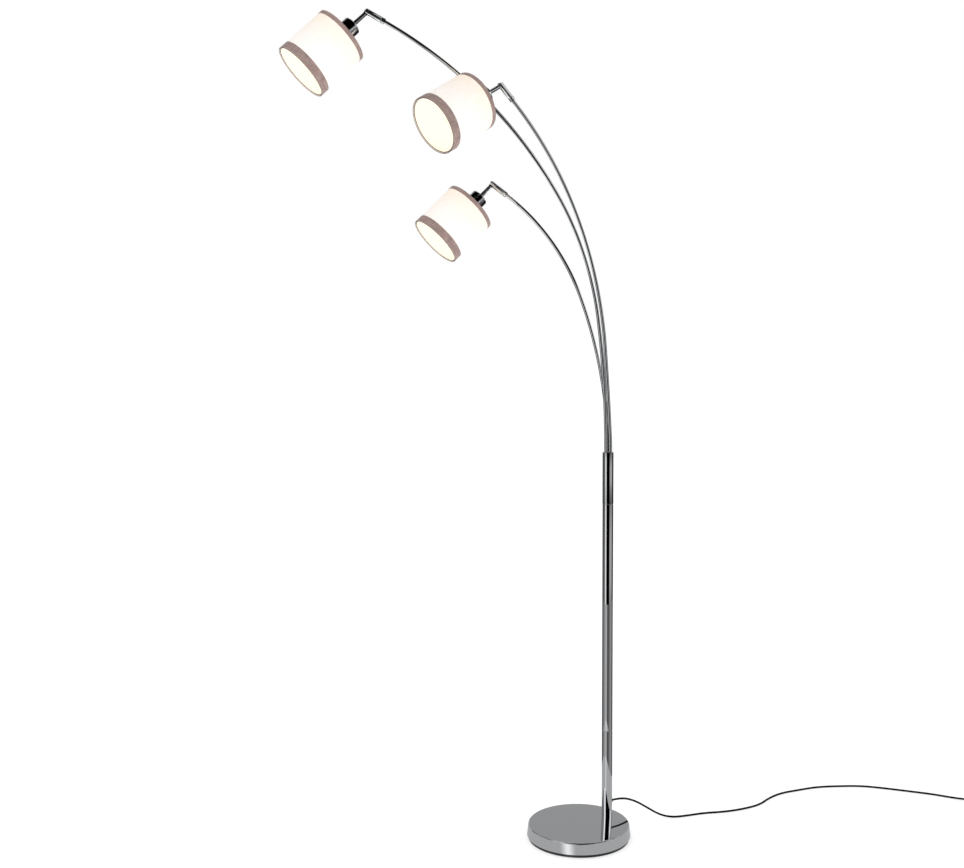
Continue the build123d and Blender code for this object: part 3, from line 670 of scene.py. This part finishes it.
def coilSpot(turns, start):
    # Inwards on the floor, up to a second layer and outwards again on it.
    climb = cord["coilClimb"]
    inward = (cord["coilTurns"] - climb) / 2
    step, layer = cord["coilStep"], cord["coilLayer"]
    least = cord["coilRadius"] - step * inward
    if turns < inward:
        radius, share = cord["coilRadius"] - step * turns, 0.0
    elif turns > inward + climb:
        radius, share = least + step * (turns - inward - climb), 1.0
    else:
        radius, share = least, (turns - inward) / climb
    lift = layer * (1 - math.cos(math.pi * share)) / 2
    # The smooth curve runs inside its points, so they stand a little further out.
    spread = 1 / (0.75 + 0.25 * math.cos(2 * math.pi / cord["pointsPerTurn"]))
    angle = math.radians(90 - 360 * turns)
    middle = start + Vector((0, -cord["coilRadius"], 0))
    out = Vector((math.cos(angle), math.sin(angle), 0)) * radius * spread
    return middle + out + Vector((0, 0, lift))


def coilPoints():
    reach, axis, floor = cord["switchReach"], cord["switchAxis"], cord["floor"]
    start = Vector((reach + cord["coilAfter"], 0, floor))
    points = [Vector((reach - cord["switchGrip"], 0, axis)),
              Vector((reach + cord["straightFor"], 0, axis)),
              Vector((reach + cord["downAfter"], 0, floor))]
    count = round(cord["coilTurns"] * cord["pointsPerTurn"])
    for index in range(count + 1):
        points.append(coilSpot(index / cord["pointsPerTurn"], start))
    last, angle = points[-1], math.radians(90 - 360 * cord["coilTurns"])
    ahead = Vector((math.sin(angle), -math.cos(angle), 0))
    top, plug = last.z, cord["plugAxis"]
    heights = (top, (top + plug) / 2, plug, plug)
    for distance, height in zip(cord["plugAfter"], heights):
        spot = last + ahead * distance
        points.append(Vector((spot.x, spot.y, height)))
    return [switchPlace() @ point for point in points]


gripped = switchPlace().to_3x3() @ Vector((cord["switchGrip"], 0, 0))
innerEnd = Vector(cordRoute[-1]) + gripped
cordRun = cordCurve("cordRun", cordRoute[:-1] + [innerEnd], "cord_run")
coilRoute = coilPoints()
cordCoil = cordCurve("cordCoil", coilRoute, "cord_coil")
grommet = polished("cord_grommet", "cordGrommet", "blackRubber", 0.0004)
switchHousing = polished("switch_housing", "footSwitch", "blackPlastic", 0.0006)
switchButton = polished("switch_button", "footSwitchButton", "blackPlastic", 0.0005)
plugBody = polished("plug_body", "plugBody", "blackPlastic", 0.0006)
plugPins = polished("plug_pins", "plugPins", "pinMetal", 0.0008)
print("cord laid")

# The base, in metres like all that follows.
baseShape = {
    "lowRadius": 0.125, "topRadius": 0.1215, "lift": 0.009, "top": 0.037, "wall": 0.0012,
    "edge": 0.0025, "padRadius": 0.118, "padThickness": 0.002,
}


def makeBase():
    low, top, wall = baseShape["lowRadius"], baseShape["topRadius"], baseShape["wall"]
    lift, height, edge = baseShape["lift"], baseShape["top"], baseShape["edge"]
    outline = eased([(0, height), (top, height, edge), (low, lift, wall * 0.45),
                     (low - wall, lift, wall * 0.45), (top - wall, height - wall, edge - wall),
                     (0, height - wall)], steps=10)
    cover = turnedPiece("baseCover", outline, Matrix.Identity(4), sides=256)
    settle(cover, "base_cover", "chrome")
    pad, thick = baseShape["padRadius"], baseShape["padThickness"]
    outline = eased([(0, 0), (pad, 0, 0.0005), (pad, thick, 0.0005), (0, thick)])
    padPiece = turnedPiece("basePad", outline, Matrix.Identity(4), sides=160)
    settle(padPiece, "base_pad", "blackRubber")
    polished("base_tray", "baseTray", "blackPlastic")
    polished("base_weight", "baseWeight", "castIron")


makeBase()
print("base made")

# The pole and the sleeve at its top. The seam and both ends are heights.
pole = {
    "offset": 0.085, "radius": 0.0127, "wall": 0.0015, "seam": 0.2535,
    "headFoot": 0.812, "headTop": 0.9365, "headRadius": 0.013, "headWall": 0.0012,
    "seamEdge": 0.0005, "headEdge": 0.0005,
}
poleAxis = Matrix.Translation((pole["offset"], 0, 0))


def tubeOutline(outer, inner, low, high, lowEdge, highEdge):
    return eased([(inner, low), (outer, low, lowEdge), (outer, high, highEdge), (inner, high)],
                 closed=True, steps=4)


def makePole():
    outer, inner = pole["radius"], pole["radius"] - pole["wall"]
    edge = pole["seamEdge"]
    outline = tubeOutline(outer, inner, pole["seam"], pole["headFoot"], edge, edge)
    settle(turnedPiece("poleUpper", outline, poleAxis, closed=True), "pole_upper", "chrome")
    polished("pole_lower", "poleLower", "chrome")
    outer, inner = pole["headRadius"], pole["headRadius"] - pole["headWall"]
    outline = tubeOutline(outer, inner, pole["headFoot"], pole["headTop"],
                          pole["headEdge"], pole["headEdge"])
    settle(turnedPiece("poleHead", outline, poleAxis, closed=True), "pole_head", "chrome")
    polished("head_insert", "headInsert", "chrome")


makePole()
print("pole made")

# The arms. Each bend is a radius and the angle in degrees that it turns by.
arms = {
    "diameter": 0.008, "sides": 40, "stepAngle": 1.0,
    "footLow": 0.8463, "footTop": 0.941, "endRun": 0.0030,
    "high": {"turn": 168.3, "bends": [(2.350, 7.6), (0.722, 24.8), (0.995, 31.3)]},
    "middle": {"turn": -178.0, "bends": [(0.600, 3.3), (5.550, 2.3), (0.874, 39.9)]},
    "low": {"turn": 131.7, "bends": [(0.814, 2.4), (1.075, 17.7), (0.538, 32.6)]},
}


def armPath(name):
    shape = arms[name]
    heading = math.radians(shape["turn"])
    out = Vector((math.cos(heading), math.sin(heading), 0))
    foot = Vector(joints["arm_%s_turn" % name]["pos_m"])
    flat = [(0.0, arms["footLow"]), (0.0, arms["footTop"])]
    across, height, lean = 0.0, arms["footTop"], 0.0
    for radius, angle in shape["bends"]:
        steps = max(4, round(angle / arms["stepAngle"]))
        piece = math.radians(angle) / steps
        for _ in range(steps):
            chord = 2 * radius * math.sin(piece / 2)
            across += chord * math.sin(lean + piece / 2)
            height += chord * math.cos(lean + piece / 2)
            lean += piece
            flat.append((across, height))
    run = arms["endRun"]
    flat.append((across + run * math.sin(lean), height + run * math.cos(lean)))
    return [Vector((foot.x, foot.y, 0)) + out * x + Vector((0, 0, z)) for x, z in flat]


def makeArm(name):
    path = pathPiece("armPath" + name, armPath(name))
    piece = grown(path, "armTube_" + name, tubeTree, tubeInputs,
                  {"Diameter": arms["diameter"], "Sides": arms["sides"],
                   "Material": finishes["chrome"]})
    settle(piece, "arm_tube_" + name)


for name in armNames:
    makeArm(name)
print("arms bent")

# The knuckles and shades. Heights run from the tilt pin towards the shade's mouth.
head = {
    "clothCut": (0.41, 0.1208),   # flat cloth round the drum with its lap, by its height
    "clothHeight": 0.1209, "clothRows": 12,
    "cupTop": 0.0428, "cupRadius": 0.0205, "cupHeight": 0.050, "cupWall": 0.0012,
    "cupEdge": 0.004,
    "rodHole": 0.0048, "shadeTop": 0.0778, "shadeLength": 0.122,
    "shadeRadius": 0.0635, "cloth": 0.001, "bandThickness": 0.0007, "bandGap": 0.00005,
    "topBand": 0.0095, "bottomBand": 0.0195, "lip": 0.0006, "wire": 0.0012,
    "foldGap": 0.00005, "hubRadius": 0.023, "hubThickness": 0.0015,
    "holderRadius": 0.014, "holderEnd": 0.1028, "holderGap": 0.0001,
    "socketFloor": 0.0688, "socketRadius": 0.0072,
    "ringTop": 0.0943, "ringHeight": 0.006, "ringRadius": 0.018,
    "gripRibs": 30, "gripRib": 0.0007, "gripHeight": 0.7,
    "bulbTip": 0.1468, "bulbRadius": 0.0225, "bulbBase": 0.0068,
    "bulbMeet": 2.45,             # radians from the ball's tip to the neck
    "neckSteps": 9, "ballSteps": 24,
}


def headPlace(name):
    # Z runs from the tilt pin down through the shade, X lies along the pin.
    tilt = joints["head_%s_tilt" % name]
    pin, across = Vector(tilt["pos_m"]), Vector(tilt["axis"]).normalized()
    low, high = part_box("shade_fabric_" + name)
    way = ((low + high) / 2 - pin).normalized()
    turn = Matrix((across, way.cross(across), way)).transposed().to_4x4()
    return Matrix.Translation(pin) @ turn


def makeCup(name, place):
    top, radius, wall = head["cupTop"], head["cupRadius"], head["cupWall"]
    mouth, edge, hole = top + head["cupHeight"], head["cupEdge"], head["rodHole"]
    outline = eased([(hole, top), (radius, top, edge), (radius, mouth, wall * 0.4),
                     (radius - wall, mouth, wall * 0.4), (radius - wall, top + wall, edge - wall),
                     (hole, top + wall)], closed=True, steps=8)
    settle(turnedPiece("lampholderCup_" + name, outline, place, closed=True),
           "lampholder_cup_" + name, "chrome")


def makeHolder(name, place):
    top = head["cupTop"] + head["cupWall"]
    end, radius = head["holderEnd"], head["holderRadius"]
    bore, floor = head["socketRadius"], head["socketFloor"]
    outline = eased([(0, top), (radius, top, 0.001), (radius, end, 0.0012), (bore, end, 0.0008),
                     (bore, floor), (0, floor)])
    holder = turnedPiece("lampholder_" + name, outline, place, sides=64)
    settle(holder, "lampholder_" + name, "ceramic")
    low, high = head["ringTop"], head["ringTop"] + head["ringHeight"]
    hole = radius + head["holderGap"]
    outline = eased([(hole, low), (head["ringRadius"], low, 0.0006),
                     (head["ringRadius"], high, 0.001), (hole, high)], closed=True)
    ring = turnedPiece("clampRing_" + name, outline, place, sides=64, closed=True)
    settle(ring, "clamp_ring_" + name, "ceramic")
    seed = newPiece("gripSeed", bpy.data.meshes.new("gripSeed"))
    ribs = grown(seed, "clampRingGrip_" + name, gripTree, gripInputs,
                 {"Count": head["gripRibs"], "Radius": head["ringRadius"],
                  "Height": head["ringHeight"] * head["gripHeight"],
                  "Rib": head["gripRib"],
                  "Material": finishes["ceramic"]})
    middle = Matrix.Translation((0, 0, (low + high) / 2))
    ribs.data.transform(place @ middle)
    settle(ribs, "clamp_ring_" + name, hides=False)


def makeBulb(name, place):
    tip, ball, base = head["bulbTip"], head["bulbRadius"], head["bulbBase"]
    centre = tip - ball
    neckStart = head["holderEnd"] + 0.001
    outline = [(0, head["socketFloor"]), (base, head["socketFloor"] + 0.0008),
               (base, neckStart)]
    # The neck swells into the ball on a smooth curve.
    meet = head["bulbMeet"]
    meetRadius, meetHeight = ball * math.sin(meet), centre + ball * math.cos(meet)
    steps = head["neckSteps"]
    for step in range(1, steps):
        share = step / steps
        ease = share * share * (3 - 2 * share)
        outline.append((base + (meetRadius - base) * ease,
                        neckStart + (meetHeight - neckStart) * share))
    steps = head["ballSteps"]
    for step in range(steps):
        angle = meet * (1 - step / steps)
        outline.append((ball * math.sin(angle), centre + ball * math.cos(angle)))
    outline.append((0, tip))
    settle(turnedPiece("bulb_" + name, outline, place, sides=64), "bulb_" + name, "bulb")


def paintSpans(piece, first, second, isSecond):
    # Two finishes on a turned piece, told apart by the outline's span that a face comes from.
    piece.data.materials.append(finishes[first])
    piece.data.materials.append(finishes[second])
    spans = piece.data.attributes["span"].data
    for polygon in piece.data.polygons:
        polygon.material_index = 1 if isSecond(spans[polygon.index].value) else 0


def makeShade(name, place):
    top, radius, cloth = head["shadeTop"], head["shadeRadius"], head["cloth"]
    rim, lip = top + head["shadeLength"], head["lip"]
    # The cloth wall: outside from the top down, over the rim and back up inside.
    height, rows = head["clothHeight"], head["clothRows"]
    outline = [(radius + cloth, top + lip + height * row / rows) for row in range(rows + 1)]
    outline += [(radius, point[1]) for point in reversed(outline)]
    wall = turnedPiece("shadeCloth_" + name, outline, place, sides=160, closed=True,
                       start=math.pi)
    paintSpans(wall, "shadeOutside", "shadeInside", lambda span: span >= rows)
    settle(wall, "shade_fabric_" + name)
    # Ribbons, each folded over the cloth's edge.
    inner = radius + cloth + head["bandGap"]
    outer = inner + head["bandThickness"]
    bands = [("shadeTopBand_", "shade_top_band_", top, 1, head["topBand"]),
             ("shadeBottomBand_", "shade_bottom_band_", rim, -1, head["bottomBand"])]
    gap = head["foldGap"]
    for label, node, edge, side, width in bands:
        far, fold = edge + side * width, edge + side * (lip - gap)
        outline = eased([(radius, edge), (outer, edge, 0.0003), (outer, far, 0.0003),
                         (inner, far), (inner, fold), (radius, fold)], closed=True, steps=3)
        band = turnedPiece(label + name, outline, place, sides=160, closed=True, start=math.pi)
        # The folded edge and its rounding take the ribbon's darker painted-shade copy.
        paintSpans(band, "band", "bandEdge", lambda span: span <= 3)
        settle(band, node + name)
    # The mouth's wire: its inward side carries a painted warm glow for the bulb's light on it, its outer side the
    # ribbon's painted-shade copy.
    wire = head["wire"]
    middle = radius - wire - gap
    outline = []
    for step in range(12):
        angle = 2 * math.pi * step / 12
        outline.append((middle + wire * math.cos(angle),
                        rim - 2 * wire + wire * math.sin(angle)))
    hem = turnedPiece("shadeHem_" + name, outline, place, sides=160, closed=True, sharp=60)
    paintSpans(hem, "bandEdge", "hem", lambda span: 6 <= span <= 10)
    settle(hem, "shade_bottom_band_" + name, hides=False)


def makeFrame(name, place):
    seed = newPiece("frameSeed", bpy.data.meshes.new("frameSeed"))
    wires = grown(seed, "shadeFrame_" + name, frameTree, frameInputs,
                  {"First Angle": math.pi / 2, "Material": finishes["whiteWire"]})
    wires.data.transform(place)
    settle(wires, "shade_frame_" + name)
    low = head["cupTop"] + head["cupHeight"]
    high = low + head["hubThickness"]
    bore, rim = head["holderRadius"] + head["holderGap"], head["hubRadius"]
    outline = eased([(bore, low), (rim, low, 0.0004), (rim, high, 0.0004), (bore, high)],
                    closed=True, steps=3)
    hub = turnedPiece("shadeHub_" + name, outline, place, sides=64, closed=True)
    settle(hub, "shade_frame_" + name, "whiteWire", hides=False)


for name in armNames:
    place = headPlace(name)
    for node, label in (("knuckle_collar_", "knuckleCollar_"),
                        ("knuckle_body_", "knuckleBody_"),
                        ("knuckle_pin_", "knucklePin_"), ("stem_rod_", "stemRod_")):
        polished(node + name, label + name, "chrome")
    makeCup(name, place)
    makeHolder(name, place)
    makeFrame(name, place)
    makeShade(name, place)
    makeBulb(name, place)
print("heads made")

# Rings round both of the foot switch's reliefs, larger towards the switch.
relief = {
    "count": 6, "pitch": 0.0034, "first": 0.0031, "last": 0.0047, "wire": 0.0007,
    "startsAt": 2.5,   # mm from the relief's mouth
}


def ringsOnCord(label, node, spot, way):
    seed = newPiece("ringSeed", bpy.data.meshes.new("ringSeed"))
    rings = grown(seed, label, ringTree, ringInputs,
                  {"Count": relief["count"], "Pitch": relief["pitch"],
                   "First Radius": relief["first"], "Last Radius": relief["last"],
                   "Wire": relief["wire"], "Material": finishes["blackPlastic"]})
    turn = way.to_track_quat("Z", "Y").to_matrix().to_4x4()
    rings.data.transform(Matrix.Translation(spot) @ turn)
    settle(rings, node, hides=False)


def makeReliefs():
    place = switchPlace()
    ahead = place.to_3x3() @ Vector((1, 0, 0))
    axis, first = cord["switchAxis"], relief["startsAt"]
    near = place @ Vector((first, 0, axis)) / 1000
    far = place @ Vector((cord["switchReach"] - first, 0, axis)) / 1000
    ringsOnCord("switchReliefIn", "switch_housing", near, ahead)
    ringsOnCord("switchReliefOut", "switch_housing", far, -ahead)


makeReliefs()

# The studio: floor, world and light.
studio = {
    "floorSize": 30.0,
    "floorDrop": 0.0005,
    "background": 1.0,
    "ambient": 0.5,
    "discRadius": 0.46,
    "discDrop": 0.0004,
    "discGlow": 0.52,
    "floorGlow": 0.62,
    "streak": (201, 218),
    "streakSoft": 22,
    "streakFoot": (-0.0375, -0.0578),
    "streakGlow": 0.75,
    "keyPlace": (-3.2, -2.0, 2.6),
    "keyTarget": (-0.2, 0, 1.2),
    "keySize": (1.6, 2.2),
    "keyPower": 18,
}
# What the chrome mirrors, by sector: azimuths in degrees, softness, then brightness by
# elevation from low to high.
sectors = {
    "leftBox": ((171, 203), 9, [(-26, 0.0), (-23, 0.7), (-17.5, 0.8), (-10, 1.0), (0, 1.0),
                                (4, 0.3), (13, 0.2), (17, 1.7), (32, 1.7), (38, 0.0)]),
    "leftLow": ((120, 180), 12, [(-50, 0.0), (-44, 1.3), (-26, 1.3), (-21, 0.0)]),
    "farLeft": ((118, 164), 13, [(-20, 0.0), (-18, 0.16), (0, 0.16), (3, 0.4), (44, 0.4),
                                 (49, 0.0)]),
    "rightBox": ((270, 330), 12, [(-40, 0.0), (-20, 0.1), (-13, 0.32), (-10, 0.5), (-4, 0.5),
                                  (0, 0.3), (4, 0.0)]),
    "rightHigh": ((300, 342), 12, [(2, 0.0), (5, 0.7), (14, 0.9), (24, 1.5), (29, 0.0)]),
    "behind": ((-16, 104), 10, [(-44, 1.5), (-30, 0.02), (-1, 0.02), (2, 1.4), (12, 1.4),
                                (15, 0.40), (44, 0.40), (50, 0.0), (56, 1.2), (76, 1.2),
                                (82, 0.0)]),
    "below": ((-180, 180), 1, [(-62, 1.3), (-52, 0.0)]),
}
# The dim skirting that the pole's lower half mirrors: brightness by azimuth.
skirting = {
    "radius": 1.5, "low": -0.9, "high": 0.24,
    "glow": [(-180, 0.42), (-165, 0.55), (-147, 0.62), (-128, 0.1), (-105, 0.1),
             (-96, 0.16), (-76, 0.24), (-49, 0.42), (-18, 0.16), (20, 0.05),
             (100, 0.05), (134, 0.2), (155, 0.3), (180, 0.42)],
}
topGlow = 2.5   # ramps hold shares of this, because their colours stop at 1


def sectorMask(tree, azimuth, span, soft):
    middle, half = math.radians(sum(span) / 2), math.radians((span[1] - span[0]) / 2)
    edge = math.radians(soft)
    away = mathNode(tree, "SUBTRACT", azimuth, middle)
    away = mathNode(tree, "ABSOLUTE", mathNode(tree, "WRAP", away, math.pi, -math.pi))
    inside = mathNode(tree, "SUBTRACT", half + edge / 2, away)
    return between(tree, inside, 0.0, edge, 0.0, 1.0, interpolation_type="SMOOTHSTEP")


def glowRamp(tree, angle, stops, span):
    # Brightness along an angle in radians, from stops in degrees.
    share = between(tree, angle, -math.radians(span), math.radians(span), 0.0, 1.0)
    levels = [(0.5 + 0.5 * degrees / span, (glow / topGlow,) * 3) for degrees, glow in stops]
    return mathNode(tree, "MULTIPLY", colorRamp(tree, share, levels), topGlow)


def makeWorld():
    world = bpy.data.worlds.new("studio")
    bpy.context.scene.world = world
    world.use_nodes = True
    tree = world.node_tree
    tree.nodes.clear()
    way = addNode(tree, "ShaderNodeTexCoord").outputs["Generated"]
    east, north, up = threeParts(tree, way)
    azimuth = mathNode(tree, "ARCTAN2", north, east)
    elevation = mathNode(tree, "ARCSINE", up)
    total = 0.0
    for span, soft, stops in sectors.values():
        mask = sectorMask(tree, azimuth, span, soft)
        part = mathNode(tree, "MULTIPLY", mask, glowRamp(tree, elevation, stops, 90))
        total = mathNode(tree, "ADD", total, part)
    pattern = made(tree, "ShaderNodeCombineColor", {0: total, 1: total, 2: total})
    seen, soft, white = [
        made(tree, "ShaderNodeBackground", {"Color": color, "Strength": strength})
        for color, strength in ((pattern, 1.0), ((1, 1, 1, 1), studio["ambient"]),
                                ((1, 1, 1, 1), studio["background"]))]
    rays = addNode(tree, "ShaderNodeLightPath").outputs
    lit = made(tree, "ShaderNodeMixShader", {0: rays["Is Glossy Ray"], 1: soft, 2: seen})
    both = made(tree, "ShaderNodeMixShader", {0: rays["Is Camera Ray"], 1: lit, 2: white})
    addNode(tree, "ShaderNodeOutputWorld", {"Surface": both})


def mirroredOnly(piece, material):
    piece.data.materials.clear()
    piece.data.materials.append(material)
    piece.visible_camera = False
    piece.visible_diffuse = False
    piece.visible_shadow = False


def aroundMaterial(name, centre, pattern):
    # Glows by azimuth about a centre, black to any other light.
    material, tree, shader = newMaterial(name)
    x, y, _ = threeParts(tree, placeOf(tree))
    along = mathNode(tree, "SUBTRACT", x, centre[0])
    across = mathNode(tree, "SUBTRACT", y, centre[1])
    bright = pattern(tree, mathNode(tree, "ARCTAN2", across, along))
    color = made(tree, "ShaderNodeCombineColor", {0: bright, 1: bright, 2: bright})
    feed(tree, shader, {"Base Color": (0, 0, 0, 1), "Specular IOR Level": 0.0,
                        "Emission Color": color, "Emission Strength": 1.0})
    return material


def makeSkirting():
    def pattern(tree, angle):
        return glowRamp(tree, angle, skirting["glow"], 180)
    radius = skirting["radius"]
    outline = [(radius, skirting["low"]), (radius, skirting["high"])]
    wall = turnedPiece("floorSkirting", outline, poleAxis, sides=64)
    mirroredOnly(wall, aroundMaterial("floorSkirting", (pole["offset"], 0), pattern))


def makeFloor():
    size = studio["floorSize"] / 2
    mesh = bpy.data.meshes.new("floor")
    mesh.from_pydata([(-size, -size, 0), (size, -size, 0), (size, size, 0), (-size, size, 0)],
                     [], [(0, 1, 2, 3)])
    floor = newPiece("floor", mesh)
    floor.location.z = -studio["floorDrop"]
    material, tree, shader = newMaterial("paleFloor")
    speck = stretchedNoise(tree, placeOf(tree), 90)
    feed(tree, shader, {"Base Color": (0.9, 0.9, 0.9, 1), "Specular IOR Level": 0.0,
                        "Roughness": between(tree, speck, 0.2, 0.8, 0.85, 0.95),
                        "Emission Color": (1, 1, 1, 1),
                        "Emission Strength": studio["floorGlow"]})
    mesh.materials.append(material)
    floor.visible_glossy = False


def makeNearFloor():
    # The floor's lit patch as the base mirrors it, with a bright streak to the left.
    def pattern(tree, angle):
        streak = sectorMask(tree, angle, studio["streak"], studio["streakSoft"])
        return mathNode(tree, "ADD", studio["discGlow"],
                        mathNode(tree, "MULTIPLY", streak, studio["streakGlow"]))
    outline = [(0, 0), (studio["discRadius"], 0)]
    disc = turnedPiece("floorNear", outline, Matrix.Identity(4), sides=64)
    disc.data.transform(Matrix.Translation((0, 0, -studio["discDrop"])))
    mirroredOnly(disc, aroundMaterial("floorNear", studio["streakFoot"], pattern))


def softLight(name, place, target, size, power):
    data = bpy.data.lights.new(name, "AREA")
    data.shape = "RECTANGLE"
    data.size, data.size_y = size
    data.energy = power
    light = bpy.data.objects.new(name, data)
    bpy.context.scene.collection.objects.link(light)
    light.location = place
    light.rotation_mode = "QUATERNION"
    light.rotation_quaternion = (Vector(target) - Vector(place)).to_track_quat("-Z", "Y")
    light.visible_glossy = False


makeWorld()
makeFloor()
makeNearFloor()
makeSkirting()
softLight("keyLight", studio["keyPlace"], studio["keyTarget"], studio["keySize"],
          studio["keyPower"])
bpy.context.scene.view_settings.view_transform = "Standard"
bpy.context.scene.view_settings.look = "None"
print("studio lit")
